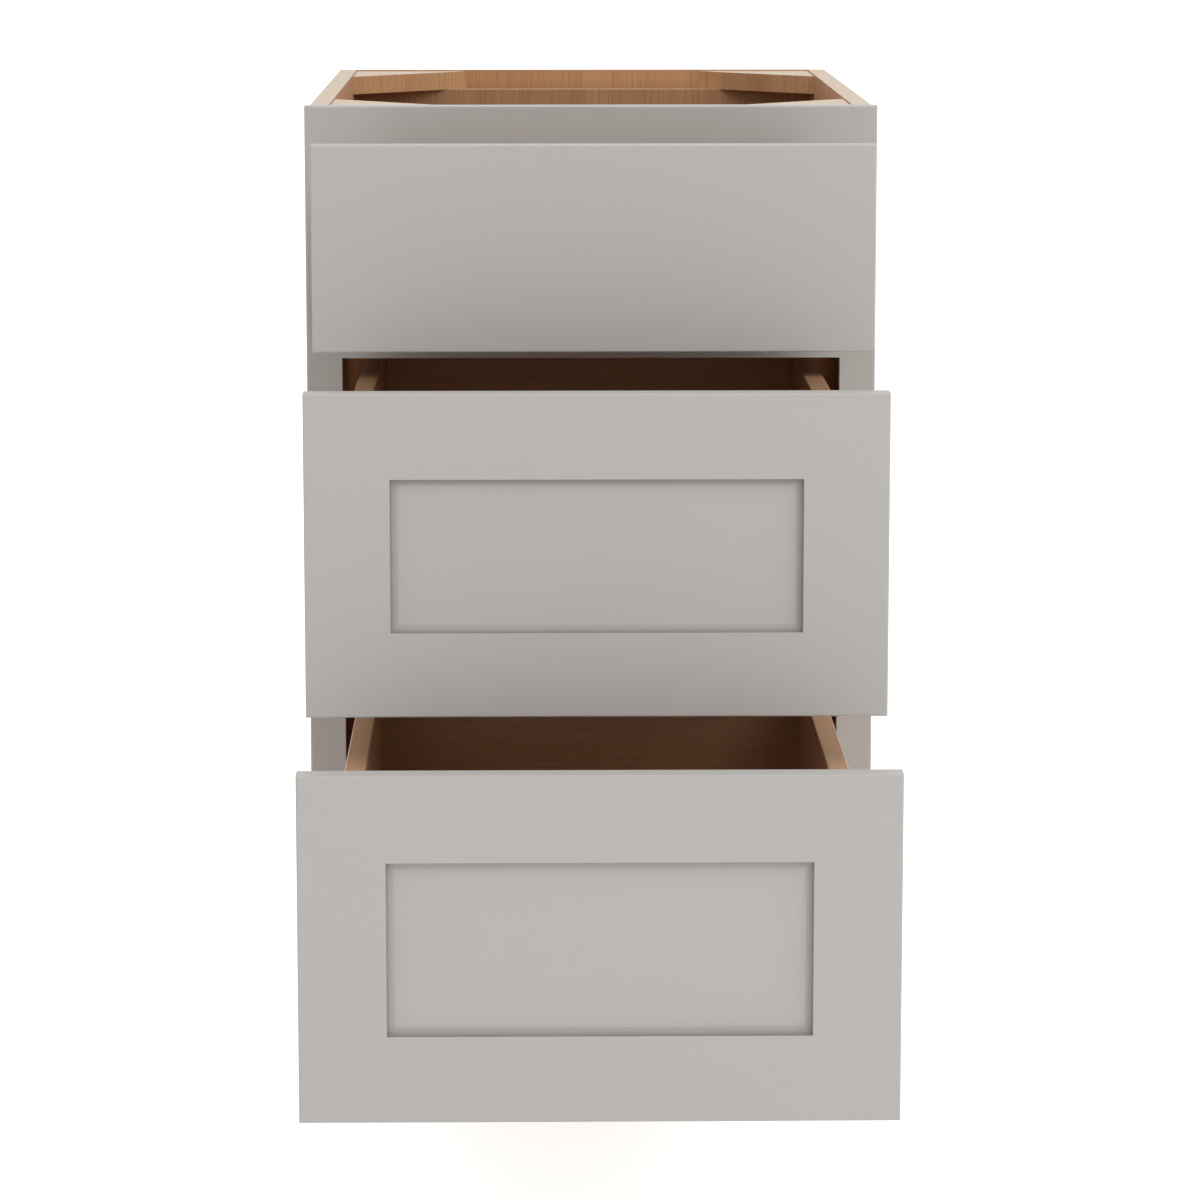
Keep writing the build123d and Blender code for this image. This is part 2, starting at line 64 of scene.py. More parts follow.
# ------------------------------------------------------------------ sizes read from the frame
SIDE_LOW, SIDE_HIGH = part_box("side_panel_right")
BACK_LOW, BACK_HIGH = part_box("back_panel")
RAIL_LOW, RAIL_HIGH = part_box("hanging_rail")
DECK_LOW, DECK_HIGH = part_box("bottom_panel")


# ------------------------------------------------------------------ settings
def colour_setting(name, description, default):
    return bpy.props.FloatVectorProperty(
        name=name, description=description, default=default, subtype="COLOR", size=3, min=0.0, max=1.0
    )


def size_setting(name, description, millimetres):
    return bpy.props.FloatProperty(
        name=name, description=description, default=millimetres * MM, min=0.0, unit="LENGTH", precision=5
    )


def share_setting(name, description, default):
    return bpy.props.FloatProperty(
        name=name, description=description, default=default, min=0.0, max=4.0, subtype="FACTOR"
    )


def angle_setting(name, description, degrees):
    return bpy.props.FloatProperty(
        name=name, description=description, default=math.radians(degrees), unit="ROTATION"
    )


def place_setting(name, description, default):
    return bpy.props.FloatVectorProperty(
        name=name, description=description, default=default, subtype="TRANSLATION", unit="LENGTH", size=3
    )


def count_setting(name, description, default, low, high):
    return bpy.props.IntProperty(name=name, description=description, default=default, min=low, max=high)


class PaintSettings(bpy.types.PropertyGroup):
    colour: colour_setting("Paint colour", "Sprayed satin paint of the cabinet", (0.479, 0.460, 0.440))
    # painted light: the paint on the face frame is a little less red, to offset warm light bounced onto it
    # from the wood
    frame_colour_against_bounce: colour_setting("Frame colour", "Its batch on the face frame", (0.471, 0.460, 0.442))
    gloss: share_setting("Paint roughness", "Roughness of the sprayed paint", 0.42)
    peel_height: size_setting("Orange peel", "Height of the ripple left by spraying", 0.004)
    cove_reach: size_setting("Cove reach", "Width of the moulded edge round a panel", 4.8)
    # painted shade: how much darker the paint is coloured deep in the cove round a panel
    cove_painted_shade: share_setting("Cove shade", "How much darker the paint is deep in that edge", 0.42)


class WoodSettings(bpy.types.PropertyGroup):
    veneer_light: colour_setting("Veneer, light", "Pale growth of the inside veneer", (0.635, 0.360, 0.180))
    veneer_dark: colour_setting("Veneer, dark", "Dark growth of the inside veneer", (0.470, 0.236, 0.104))
    blush: colour_setting("Blush", "Tint of the redder leaves of veneer", (0.99, 0.95, 0.935))
    ledge: colour_setting("Ledge", "Bare top edge of the hanging rail", (0.560, 0.370, 0.210))
    edge_light: colour_setting("Edge, light", "Bare top edges of sides and braces", (0.680, 0.552, 0.430))
    edge_dark: colour_setting("Edge, dark", "Flecks in the bare top edges", (0.600, 0.465, 0.340))
    # partly the real dark joint and veneer edge, partly painted shade of the gap beside it
    seam: colour_setting("Seam", "Line between the sides and what they hold", (0.150, 0.085, 0.040))
    maple_light: colour_setting("Maple, light", "Pale growth of the drawer boxes", (0.536, 0.322, 0.176))
    maple_dark: colour_setting("Maple, dark", "Dark growth of the drawer boxes", (0.405, 0.220, 0.108))
    maple_blush: colour_setting("Maple blush", "Tint of the redder drawer maple", (1.0, 0.95, 0.93))
    end_grain: colour_setting("End grain", "Cut ends of the boards and plies", (0.300, 0.160, 0.080))
    raw_light: colour_setting("Raw back, light", "Unfinished outside of the back", (0.640, 0.480, 0.310))
    raw_dark: colour_setting("Raw back, dark", "Dark growth of that veneer", (0.500, 0.350, 0.210))
    leaf_width: size_setting("Leaf width", "Width of one leaf of veneer", 96.0)
    seam_and_shade_width: size_setting("Seam width", "Width of the dark line at the sides' top edges", 0.7)
    plies: count_setting("Plies", "Layers in the thickness of a plywood panel", 9, 3, 15)


class FittingSettings(bpy.types.PropertyGroup):
    zinc: colour_setting("Zinc", "Plated steel of the runners", (0.560, 0.570, 0.580))
    screw: colour_setting("Screw plating", "Yellow zinc of the screws", (0.620, 0.520, 0.340))
    plastic: colour_setting("Plastic", "Rear sockets and clips of the runners", (0.160, 0.165, 0.170))
    bumper: colour_setting("Bumper", "Soft pads behind the fronts", (0.720, 0.720, 0.700))
    shank_radius: size_setting("Screw shank", "Radius over a screw's thread", 1.9)
    head_radius: size_setting("Screw head", "Radius of a screw's head", 3.5)
    head_height: size_setting("Head height", "Height of a screw's head", 2.0)
    thread_pitch: size_setting("Thread pitch", "From one turn of the thread to the next", 1.6)
    runner_screw: size_setting("Runner screw", "Length of the runners' screws", 12.0)
    front_screw: size_setting("Front screw", "Length of the screws that hold the fronts", 28.0)
    clip_ribs: count_setting("Clip ribs", "Ribs in the hollow underside of a clip", 4, 1, 9)
    grip_ridges: count_setting("Grip ridges", "Ridges across a clip's lever", 5, 1, 9)


class StudioSettings(bpy.types.PropertyGroup):
    camera_place: place_setting("Camera place", "Where the camera stands", (-0.0474, -4.2112, 1.0250))
    camera_yaw: angle_setting("Camera yaw", "Turn of the camera to its right", 0.867)
    camera_pitch: angle_setting("Camera pitch", "Tilt of the camera downwards", 9.433)
    lens: bpy.props.FloatProperty(
        name="Lens", description="Focal length", default=135.07, min=1.0, unit="CAMERA"
    )
    floor: colour_setting("Floor", "Pale floor", (0.86, 0.86, 0.86))
    floor_glow: share_setting("Floor glow", "How far the camera sees the floor as white", 0.74)
    level: share_setting("Level", "Even light from all round", 0.735)
    from_above: share_setting("From above", "How much brighter it is overhead", 0.30)
    from_right: share_setting("From the right", "How much brighter it is on the right", 0.27)
    key_place: place_setting("Key place", "Where the softbox hangs", (1.9, -3.4, 3.0))
    key_aim: place_setting("Key aim", "What the softbox points at", (0.0, -0.6, 0.45))
    key_size: size_setting("Key size", "Side of the square softbox", 2200.0)
    key_power: bpy.props.FloatProperty(
        name="Key power", description="Power of the softbox", default=31.0, min=0.0, unit="POWER"
    )


# ------------------------------------------------------------------ building materials
class Value:
    """A socket whose arithmetic adds Math nodes to its tree."""

    def __init__(self, shading, socket):
        self.shading = shading
        self.socket = socket

    def math(self, operation, *numbers):
        return self.shading.node("ShaderNodeMath", {"operation": operation}, dict(enumerate(numbers)))

    def __add__(self, other):
        return self.math("ADD", self, other)

    def __sub__(self, other):
        return self.math("SUBTRACT", self, other)

    def __rsub__(self, other):
        return self.math("SUBTRACT", other, self)

    def __mul__(self, other):
        return self.math("MULTIPLY", self, other)

    def __truediv__(self, other):
        return self.math("DIVIDE", self, other)

    def __pow__(self, other):
        return self.math("POWER", self, other)

    def __gt__(self, other):
        return self.math("GREATER_THAN", self, other)

    def __lt__(self, other):
        return self.math("LESS_THAN", self, other)

    def __abs__(self):
        return self.math("ABSOLUTE", self)

    def floor(self):
        return self.math("FLOOR", self)

    def least(self, other):
        return self.math("MINIMUM", self, other)

    def most(self, other):
        return self.math("MAXIMUM", self, other)

    def fold(self, size=1.0):
        """Runs up to the size and back down to nothing, over and over."""
        return self.math("PINGPONG", self, size)

    def ease(self, low, high):
        """Nothing below low, one above high, and a smooth step between."""
        return self.shading.node(
            "ShaderNodeMapRange",
            {"interpolation_type": "SMOOTHSTEP"},
            {"Value": self, "From Min": low, "From Max": high},
        )

    __radd__ = __add__
    __rmul__ = __mul__


class Shading:
    """The node tree of a material or a world while it is put together."""

    def __init__(self, owner):
        owner.use_nodes = True
        self.owner = owner
        self.tree = owner.node_tree
        self.tree.nodes.clear()

    def node(self, kind, settings=None, sockets=None, output=0):
        """Adds a node: its settings first, then its sockets. Output None gives all its outputs."""
        made = self.tree.nodes.new(kind)
        for name, value in (settings or {}).items():
            setattr(made, name, value)
        for name, value in (sockets or {}).items():
            socket = made.inputs[name]
            if isinstance(value, Value):
                self.tree.links.new(value.socket, socket)
            elif socket.type == "RGBA" and len(value) == 3:
                socket.default_value = (*value, 1.0)
            else:
                socket.default_value = value
        if output is None:
            return [Value(self, each) for each in made.outputs]
        return Value(self, made.outputs[output])

    def mix(self, under, over, share, blend="MIX"):
        settings = {"data_type": "RGBA", "blend_type": blend}
        return self.node("ShaderNodeMix", settings, {0: share, 6: under, 7: over}, 2)

    def mix_numbers(self, under, over, share):
        return self.node("ShaderNodeMix", {"data_type": "FLOAT"}, {0: share, 2: under, 3: over})

    def shade(self, colour, amount):
        """A colour made lighter or darker by a number that varies."""
        return self.mix(colour, amount, 1.0, "MULTIPLY")

    def seen(self):
        """One for what the camera sees itself, in a reflection or through glass, and else nothing."""
        rays = {ray.socket.name: ray for ray in self.node("ShaderNodeLightPath", output=None)}
        return rays["Is Camera Ray"].most(rays["Is Glossy Ray"]).most(rays["Is Transmission Ray"])


class Finish(Shading):
    """One material, with the place and direction of each point of its surface."""

    def __init__(self, name):
        super().__init__(bpy.data.materials.new(name))
        self.point = self.node("ShaderNodeTexCoord", output="Object")
        self.x, self.y, self.z = self.node("ShaderNodeSeparateXYZ", {}, {0: self.point}, None)
        facing = self.node("ShaderNodeTexCoord", output="Normal")
        self.facing_x, self.facing_y, self.facing_z = self.node(
            "ShaderNodeSeparateXYZ", {}, {0: facing}, None
        )

    def at(self, x, y, z):
        return self.node("ShaderNodeCombineXYZ", {}, {0: x, 1: y, 2: z})

    def noise(self, point, detail=2.0, roughness=0.5, distortion=0.0):
        return self.node(
            "ShaderNodeTexNoise",
            {"noise_dimensions": "3D"},
            {
                "Vector": point,
                "Scale": 1.0,
                "Detail": detail,
                "Roughness": roughness,
                "Distortion": distortion,
            },
        )

    def even_noise(self, waves, detail=2.0):
        """Noise with the same number of waves to the metre every way."""
        point = self.node("ShaderNodeVectorMath", {"operation": "SCALE"}, {0: self.point, "Scale": waves})
        return self.noise(point, detail)

    def chance(self, number):
        """A fixed random number for each whole number."""
        return self.node("ShaderNodeTexWhiteNoise", {"noise_dimensions": "1D"}, {"W": number})

    def surface(self, layer, specular=0.5, coat=0.0, coat_roughness=0.2):
        """Ends the material: one shader with a layer's colour, roughness, height and metal."""
        bump = self.node("ShaderNodeBump", {}, {"Strength": 1.0, "Distance": 1.0, "Height": layer.height})
        shader = self.node(
            "ShaderNodeBsdfPrincipled",
            {},
            {
                "Base Color": layer.colour,
                "Roughness": layer.roughness,
                "Metallic": layer.metallic,
                "Specular IOR Level": specular,
                "Coat Weight": coat,
                "Coat Roughness": coat_roughness,
                "Normal": bump,
            },
        )
        self.node("ShaderNodeOutputMaterial", {}, {"Surface": shader}, None)
        return self.owner


class Layer:
    """What covers a surface: its colour, its roughness, its height in metres and how metallic it is."""

    def __init__(self, colour, roughness, height, metallic=0.0):
        self.colour = colour
        self.roughness = roughness
        self.height = height
        self.metallic = metallic

    def under(self, over, where):
        """This layer, with another on top of it where the mask is one."""
        shading = where.shading
        metallic = self.metallic
        if over.metallic != metallic:
            metallic = shading.mix_numbers(metallic, over.metallic, where)
        return Layer(
            shading.mix(self.colour, over.colour, where),
            shading.mix_numbers(self.roughness, over.roughness, where),
            shading.mix_numbers(self.height, over.height, where),
            metallic,
        )

    def shaded(self, amount):
        """This layer, lighter or darker by a number that varies."""
        return Layer(amount.shading.shade(self.colour, amount), self.roughness, self.height, self.metallic)


# ------------------------------------------------------------------ layers
def paint_layer(finish, paint, sprayed):
    """Satin paint of one colour, sprayed: a slow drift of tone and a fine ripple."""
    drift = finish.even_noise(7.0)
    ripple = finish.even_noise(520.0, 1.0)
    dust = finish.even_noise(2600.0, 0.0)
    colour = finish.shade(tuple(sprayed), 0.988 + 0.024 * drift)
    roughness = paint.gloss - 0.03 + 0.06 * dust
    return Layer(colour, roughness, ripple * paint.peel_height)


def coved_paint_layer(finish, paint, low, high):
    """The paint of a panelled front, with painted shade darkening the cove round its panel. The cove
    starts at these corners, and its run grows from nothing there to one at its toe."""
    # shares of the painted shade lost at the cove's toe and on its downward-facing side
    lost_at_toe = 0.7
    lost_overhead = 0.6
    to_side = high.x - abs(finish.x)
    to_end = (finish.z - low.z).least(high.z - finish.z)
    run = to_side.least(to_end) / paint.cove_reach
    inside = (run > -0.02) * (finish.facing_y < 0.5)
    fade = (1.0 - run * lost_at_toe) * (1.0 - run.ease(0.98, 1.2))
    overhung = (finish.facing_z * -1.0).most(0.0)
    shade = inside * fade * (1.0 - overhung * lost_overhead) * paint.cove_painted_shade
    return paint_layer(finish, paint, paint.colour).shaded(1.0 - shade)


def wood_layer(finish, along, across, through, tones, leaf=0.0, lines=9.0, figure=1.0):
    """Close-grained wood cut along its length: leaves, growth lines, fibres, flecks and dark ticks."""
    leaf_jump, leaf_contrast = 7.0, 0.55
    growth_contrast, band_contrast, fibre_contrast = 0.8, 0.7, 0.35
    line_depth, fleck_depth, tick_depth, rim_lift = 0.38, 0.09, 0.14, 0.08
    fibre_height, line_height = 0.02 * MM, 0.01 * MM
    tick_to_rim = 1.3 * MM
    light, dark, blush = tones
    start = 0.0
    lift = 0.5
    if leaf:
        chance = finish.chance((across / leaf).floor())
        start = chance * leaf_jump
        lift = 0.5 + (chance - 0.5) * leaf_contrast

    def grain(lengthwise, sideways, detail, roughness=0.5, distortion=0.0, place=across, jump=start):
        """Noise drawn out along the wood: so many waves to the metre along it, and to each side."""
        point = finish.at(along * lengthwise, place * sideways, through * sideways + jump)
        return finish.noise(point, detail, roughness, distortion)

    growth = grain(1.3, 17.0, 2.0, 0.45, 0.35)
    band = grain(3.0, 55.0, 2.0, 0.5, 0.2)
    stretch = grain(14.0, 30.0, 1.0).ease(0.42, 0.62)
    line = (growth * lines).fold() ** 9.0 * stretch
    fibre = grain(22.0, 620.0, 2.0, 0.6)
    fleck = grain(75.0, 1100.0, 0.0, jump=0.0).ease(0.64, 0.74)
    tick = grain(26.0, 430.0, 0.0).ease(0.60, 0.70)
    rim = grain(26.0, 430.0, 0.0, place=across + tick_to_rim).ease(0.60, 0.70)
    redness = grain(0.7, 26.0, 1.0).ease(0.42, 0.6)

    pale = lift + ((growth - 0.5) * growth_contrast + (band - 0.5) * band_contrast) * figure
    pale = pale + (fibre - 0.5) * fibre_contrast - line * line_depth
    share = finish.node("ShaderNodeClamp", {}, {"Value": pale})
    colour = finish.mix(finish.mix(dark, light, share), blush, redness, "MULTIPLY")
    streak = (rim * rim_lift - tick * tick_depth) * figure
    colour = finish.shade(colour, 1.0 - fleck * fleck_depth + streak)
    height = fibre * fibre_height - fleck * fibre_height - line * line_height
    return Layer(colour, 0.40 + 0.14 * fibre, height)


def end_layer(finish, light, dark):
    """Wood cut across its fibres: speckled and matt."""
    pore = finish.even_noise(1500.0, 1.0)
    arc = finish.even_noise(60.0, 1.0)
    colour = finish.mix(dark, light, pore * 0.7 + arc * 0.3)
    return Layer(colour, 0.62 + 0.10 * pore, pore * (0.03 * MM))


def ply_layer(finish, through, lowest, highest, wood):
    """The edge of a plywood panel: layers of long grain and end grain, with thin glue lines."""
    glue_shade = 0.45
    place = (through - lowest) * (wood.plies / (highest - lowest))
    number = place.floor()
    odd = number.fold()
    speck = finish.even_noise(1100.0, 1.0)
    colour = finish.mix(tuple(wood.edge_light), tuple(wood.end_grain), odd * 0.45 + speck * 0.25)
    glue = (abs(place - number - 0.5) * 2.0).ease(0.86, 0.98)
    colour = finish.shade(colour, (1.0 - glue * glue_shade) * (0.9 + 0.2 * finish.chance(number)))
    return Layer(colour, 0.66 + 0.08 * speck, speck * (0.04 * MM) - glue * (0.03 * MM))


def bare_edge_layer(finish, wood):
    """The pale top edges of the sides and braces, sanded and sealed."""
    lengthwise, sideways = 40.0, 260.0
    point = finish.at(finish.x * sideways, finish.y * lengthwise, finish.z * sideways)
    grain = finish.noise(point, 2.0, 0.6)
    speck = finish.even_noise(900.0, 1.0)
    share = (grain * 0.6 + speck * 0.5).ease(0.25, 0.75)
    colour = finish.mix(tuple(wood.edge_dark), tuple(wood.edge_light), share)
    return Layer(colour, 0.55 + 0.1 * speck, speck * (0.02 * MM))


def staple_mask(finish, heights, spacing, length=11.0 * MM, thickness=1.2 * MM):
    """One on the crowns of the staples driven through the back, in level rows at these heights."""
    along = abs(finish.x.fold(spacing) - spacing / 2) < length / 2
    rows = None
    for height in heights:
        row = abs(finish.z - height) < thickness / 2
        rows = row if rows is None else rows.most(row)
    return along * rows


# ------------------------------------------------------------------ materials
def painted(scene, name, sprayed):
    finish = Finish(name)
    return finish.surface(paint_layer(finish, scene.cabinet_paint, sprayed), specular=0.45)


def painted_front(scene, row):
    """Paint for a panelled front, with painted shade in the cove round its panel. The box of its panel
    tells where the cove round it starts.
    """
    panel_past_cove = 9.125 * MM  # the panel runs on this far behind the outer edge of the cove
    low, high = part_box(f"{row}_front_panel")
    inset = Vector((panel_past_cove, 0.0, panel_past_cove))
    finish = Finish(f"satin_paint_{row}_front")
    layer = coved_paint_layer(finish, scene.cabinet_paint, low + inset, high - inset)
    return finish.surface(layer, specular=0.45)


def veneer_tones(wood):
    return tuple(wood.veneer_light), tuple(wood.veneer_dark), tuple(wood.blush)


def toned_down(tones, share):
    light, dark, blush = tones
    return tuple(part * share for part in light), tuple(part * share for part in dark), blush


def maple_tones(wood):
    return tuple(wood.maple_light), tuple(wood.maple_dark), tuple(wood.maple_blush)


def side_panel_material(scene, side):
    """Veneer inside, paint outside, a pale bare top edge and plies on the other edges."""
    paint_wrap = 0.4 * MM  # the paint comes this far round the outer corners
    wood = scene.cabinet_wood
    finish = Finish(f"side_panel_{'right' if side > 0 else 'left'}")
    outwards = finish.x * side
    inside = wood_layer(finish, finish.z, finish.y, finish.x, veneer_tones(wood), leaf=wood.leaf_width)
    plies = ply_layer(finish, outwards, SIDE_LOW.x, SIDE_HIGH.x, wood)
    layer = inside.under(plies, 1.0 - (abs(finish.facing_x) > 0.5))
    top = finish.facing_z > 0.5
    layer = layer.under(bare_edge_layer(finish, wood), top)
    # the dark line at the inner top edge: partly the real joint, partly painted shade of the gap beside it
    seam = Layer(tuple(wood.seam), 0.7, 0.0)
    layer = layer.under(seam, top * (outwards < SIDE_LOW.x + wood.seam_and_shade_width))
    paint = paint_layer(finish, scene.cabinet_paint, scene.cabinet_paint.colour)
    layer = layer.under(paint, outwards > SIDE_HIGH.x - paint_wrap)
    return finish.surface(layer)


def back_panel_material(scene):
    """Veneer inside with painted shade above the hanging rail, stapled and unfinished veneer outside, and
    plies on the edges.
    """
    ledge_reach, ledge_painted_shade = 12.0 * MM, 0.22  # painted shade: the veneer is coloured darker towards the hanging rail's top, where the corner is in shade
    row_inset, staple_spacing = 16.0 * MM, 80.0 * MM
    wood = scene.cabinet_wood
    finish = Finish("back_panel_veneer")
    inside = wood_layer(finish, finish.z, finish.x, finish.y, veneer_tones(wood), leaf=wood.leaf_width)
    # painted shade in the corner above the hanging rail
    above_ledge = (finish.z - RAIL_HIGH.z).ease(0.0, ledge_reach)
    over_rail = finish.z > RAIL_HIGH.z
    inside = inside.shaded(1.0 - over_rail * (1.0 - above_ledge) * ledge_painted_shade)
    raw_tones = tuple(wood.raw_light), tuple(wood.raw_dark), tuple(wood.blush)
    outside = wood_layer(finish, finish.z, finish.x, finish.y, raw_tones, leaf=wood.leaf_width * 1.7)
    staple = Layer((0.62, 0.60, 0.56), 0.35, -0.2 * MM, 1.0)
    rail_rows = (RAIL_LOW.z + row_inset, RAIL_HIGH.z - row_inset)
    rows = (*rail_rows, (DECK_LOW.z + DECK_HIGH.z) / 2)
    outside = outside.under(staple, staple_mask(finish, rows, staple_spacing))
    layer = inside.under(outside, finish.facing_y > 0.5)
    plies = ply_layer(finish, finish.y, BACK_LOW.y, BACK_HIGH.y, wood)
    layer = layer.under(plies, 1.0 - (abs(finish.facing_y) > 0.5))
    # the back's top edge is coloured dark brown
    dark_top_edge = Layer(finish.shade(tuple(wood.end_grain), 0.8 + 0.3 * finish.even_noise(300.0)), 0.5, 0.0)
    layer = layer.under(dark_top_edge, finish.facing_z > 0.5)
    return finish.surface(layer)


def rail_material(scene):
    """The hanging rail: veneered face coloured darker as painted shade, a bare ledge on top and plies below
    and at the ends.
    """
    painted_shade_tone = 0.81  # painted shade: the rail's veneer is the back's made darker by this share
    wood = scene.cabinet_wood
    finish = Finish("hanging_rail_veneer")
    tones = toned_down(veneer_tones(wood), painted_shade_tone)
    face = wood_layer(finish, finish.z, finish.x, finish.y, tones, leaf=wood.leaf_width)
    plies = ply_layer(finish, finish.y, RAIL_LOW.y, RAIL_HIGH.y, wood)
    layer = face.under(plies, abs(finish.facing_y) < 0.5)
    ledge = Layer(finish.shade(tuple(wood.ledge), 0.92 + 0.16 * finish.even_noise(260.0)), 0.5, 0.0)
    return finish.surface(layer.under(ledge, finish.facing_z > 0.5))


def deck_material(scene):
    wood = scene.cabinet_wood
    finish = Finish("deck_veneer")
    face = wood_layer(finish, finish.x, finish.y, finish.z, veneer_tones(wood), leaf=wood.leaf_width)
    plies = ply_layer(finish, finish.z, DECK_LOW.z, DECK_HIGH.z, wood)
    return finish.surface(face.under(plies, 1.0 - (abs(finish.facing_z) > 0.5)))


def brace_material(scene):
    """Corner braces: pale bare tops, veneer on the edges that show."""
    slant = 0.37  # keeps the grain's lines apart on the slanting edges too
    wood = scene.cabinet_wood
    finish = Finish("corner_brace_wood")
    across = finish.x + finish.y * slant
    leaf = wood.leaf_width * 0.3
    edge = wood_layer(finish, finish.z, across, finish.y * 0.0, veneer_tones(wood), leaf=leaf)
    return finish.surface(edge.under(bare_edge_layer(finish, wood), abs(finish.facing_z) > 0.5))


def board_material(scene, name, along, across, through, end):
    """Solid maple of a drawer box, with end grain where the board is cut across, and painted light on its
    upward faces.
    """
    top_painted_light = 0.1  # painted light: faces turned upwards are coloured paler, as if lit from above
    wood = scene.cabinet_wood
    finish = Finish(name)
    axes = {"x": finish.x, "y": finish.y, "z": finish.z}
    facing = {"x": finish.facing_x, "y": finish.facing_y, "z": finish.facing_z}
    grain = axes[along], axes[across], axes[through]
    face = wood_layer(finish, *grain, maple_tones(wood), lines=7.0, figure=0.55)
    # painted light from above on the upward faces
    face = face.shaded(1.0 + (finish.facing_z > 0.5) * top_painted_light)
    cut = end_layer(finish, tuple(wood.maple_dark), tuple(wood.end_grain))
    return finish.surface(face.under(cut, abs(facing[end]) > 0.6), coat=0.15, coat_roughness=0.3)


def drawer_bottom_material(scene):
    wood = scene.cabinet_wood
    finish = Finish("drawer_bottom_veneer")
    leaf = wood.leaf_width * 1.3
    face = wood_layer(finish, finish.y, finish.x, finish.z, maple_tones(wood), leaf=leaf, figure=0.7)
    return finish.surface(face)


def zinc_material(scene):
    """Rolled and plated strip: fine lines along the runner and cloudy plating."""
    finish = Finish("zinc_plated_steel")
    cloud = finish.even_noise(45.0, 3.0)
    roll = finish.noise(finish.at(finish.x * 1600.0, finish.y * 9.0, finish.z * 1600.0), 1.0)
    colour = finish.shade(tuple(scene.cabinet_fittings.zinc), 0.86 + 0.28 * cloud)
    return finish.surface(Layer(colour, 0.26 + 0.16 * cloud + 0.10 * roll, roll * (0.006 * MM), 1.0))


def screw_material(scene):
    finish = Finish("yellow_zinc")
    cloud = finish.even_noise(700.0, 2.0)
    colour = finish.shade(tuple(scene.cabinet_fittings.screw), 0.8 + 0.4 * cloud)
    return finish.surface(Layer(colour, 0.24 + 0.2 * cloud, cloud * (0.01 * MM), 1.0))


def plastic_material(scene):
    finish = Finish("moulded_plastic")
    grain = finish.even_noise(1900.0, 1.0)
    colour = finish.shade(tuple(scene.cabinet_fittings.plastic), 0.92 + 0.16 * grain)
    return finish.surface(Layer(colour, 0.48 + 0.1 * grain, grain * (0.02 * MM)))


def bumper_material(scene):
    finish = Finish("soft_bumper")
    haze = finish.even_noise(800.0, 1.0)
    colour = finish.shade(tuple(scene.cabinet_fittings.bumper), 0.94 + 0.1 * haze)
    return finish.surface(Layer(colour, 0.2 + 0.12 * haze, haze * (0.004 * MM)))


def dress(material, *nodes):
    """Gives a material to the slots of CAD nodes."""
    for node in nodes:
        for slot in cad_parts[node].material_slots:
            slot.material = material


def named(*endings):
    """The CAD nodes whose names end in any of these."""
    return [node for node in sorted(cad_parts) if node.endswith(endings)]


def starting(*starts):
    """The CAD nodes whose names start with any of these."""
    return [node for node in sorted(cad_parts) if node.startswith(starts)]


# ------------------------------------------------------------------ building pieces
def only(*pieces):
    """Selects these objects and nothing else, with the first one active."""
    bpy.ops.object.select_all(action="DESELECT")
    for piece in pieces:
        piece.select_set(True)
    bpy.context.view_layer.objects.active = pieces[0]


def box_between(low, high):
    """A new box between two corners, its place in its mesh."""
    bpy.ops.object.select_all(action="DESELECT")
    bpy.ops.mesh.primitive_cube_add(size=1.0, location=(Vector(low) + Vector(high)) / 2)
    box = bpy.context.active_object
    box.scale = Vector(high) - Vector(low)
    bpy.ops.object.transform_apply()
    return box


def start_editing(piece, picking="FACE"):
    only(piece)
    bpy.ops.object.mode_set(mode="EDIT")
    bpy.ops.mesh.select_mode(type=picking)
    bpy.ops.mesh.select_all(action="DESELECT")


def stop_editing():
    bpy.ops.object.mode_set(mode="OBJECT")


def pick_faces(piece, test):
    """Selects, in edit mode, the faces whose middle and direction pass a test."""
    shape = bmesh.from_edit_mesh(piece.data)
    for face in shape.faces:
        face.select_set(bool(test(face.calc_center_median(), face.normal)))
    bmesh.update_edit_mesh(piece.data)


def round_edges(piece, width, segments, test):
    """Rounds the edges whose two ends pass a test."""
    start_editing(piece, "EDGE")
    shape = bmesh.from_edit_mesh(piece.data)
    for edge in shape.edges:
        edge.select_set(bool(test(edge.verts[0].co, edge.verts[1].co)))
    bmesh.update_edit_mesh(piece.data)
    bpy.ops.mesh.bevel(offset=width, segments=segments, affect="EDGES")
    stop_editing()


def soften(piece, width):
    """Breaks every sharp edge of a piece."""
    bevel = piece.modifiers.new("softened edges", "BEVEL")
    bevel.width = width
    bevel.segments = 2
    bevel.limit_method = "ANGLE"
    bevel.angle_limit = math.radians(40)
    only(piece)
    bpy.ops.object.modifier_apply(modifier=bevel.name)


def grow(distance, scale=1.0):
    """Extrudes the selected face along +Z and scales its new edge about the Z axis."""
    bpy.ops.mesh.extrude_region_move(TRANSFORM_OT_translate={"value": (0, 0, distance)})
    if scale != 1.0:
        bpy.ops.transform.resize(value=(scale, scale, 1.0), center_override=(0, 0, 0))


def joined(*pieces):
    only(*pieces)
    if len(pieces) > 1:
        bpy.ops.object.join()
    return bpy.context.view_layer.objects.active


def copies(pattern, places):
    """One object made of a pattern at each place, each copy with its own mesh."""
    made = []
    for place in places:
        copy = pattern.copy()
        copy.data = pattern.data.copy()
        copy.data.transform(place)
        if place.determinant() < 0:
            copy.data.flip_normals()
        bpy.context.scene.collection.objects.link(copy)
        made.append(copy)
    return joined(*made)


def finished(piece, name, body, material, node):
    """Names a piece, gives it its finish, lets it ride on its body and puts it in a CAD node's place."""
    piece.name = name
    piece.data.name = name
    piece.data.materials.clear()
    piece.data.materials.append(material)
    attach(piece, body)
    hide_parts(node)


